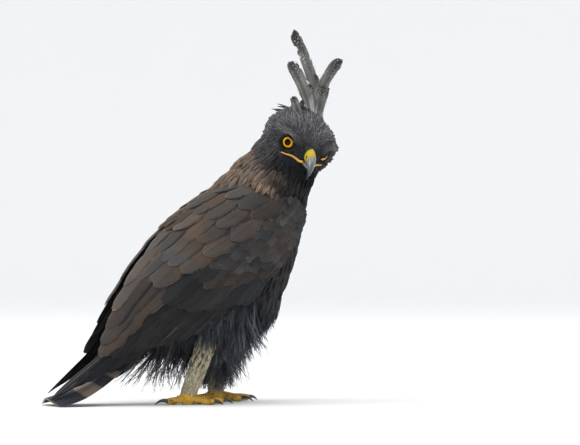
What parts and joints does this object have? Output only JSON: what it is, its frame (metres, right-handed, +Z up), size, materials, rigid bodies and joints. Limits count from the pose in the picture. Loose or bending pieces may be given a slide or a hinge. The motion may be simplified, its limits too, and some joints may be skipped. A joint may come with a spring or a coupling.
{
  "type": "long-crested eagle",
  "caption": "Life-size standing long-crested eagle with a tall crest of loose plumes, folded wings and its head turned back over its right shoulder.",
  "frame": {"origin": "centre of the bounding box's footprint, on the floor the bird stands on", "axes": "+Z up; the body heads 22 degrees to the left of +X, so its right side faces -Y, towards the picture's camera; the bill points mostly to -Y"},
  "size_m": [0.3522, 0.192, 0.4419],
  "materials": {
    "body_plumage": "soft brown feathers, blackish below",
    "neck_plumage": "soft dark brown feathers",
    "head_plumage": "soft charcoal feathers with pale fine streaks",
    "wing_plumage": "smooth dark brown flight and covert feathers",
    "tail_plumage": "smooth grey feathers with pale bands",
    "belly_plumage": "loose blackish feathers",
    "tarsus_plumage": "short off-white feathers with dark streaks",
    "foot_skin": "yellow scaled skin",
    "claw": "glossy black horn",
    "bill": "blue-grey horn with a yellow cere",
    "eye": "glossy orange-yellow iris and black pupil"
  },
  "bodies": {
    "root": {"torso": "body_plumage", "neck": "neck_plumage", "head": "head_plumage", "eye_right": "eye", "eye_left": "eye", "bill_upper": "bill", "bill_lower": "bill", "wing_right": "wing_plumage", "wing_left": "wing_plumage", "tail": "tail_plumage", "thigh_right": "belly_plumage", "thigh_left": "belly_plumage", "tarsus_right": "tarsus_plumage", "tarsus_left": "tarsus_plumage", "foot_right": "foot_skin", "foot_left": "foot_skin", "claw_right_inner": "claw", "claw_right_middle": "claw", "claw_right_outer": "claw", "claw_right_hind": "claw", "claw_left_inner": "claw", "claw_left_middle": "claw", "claw_left_outer": "claw", "claw_left_hind": "claw"}
  },
  "joints": []
}
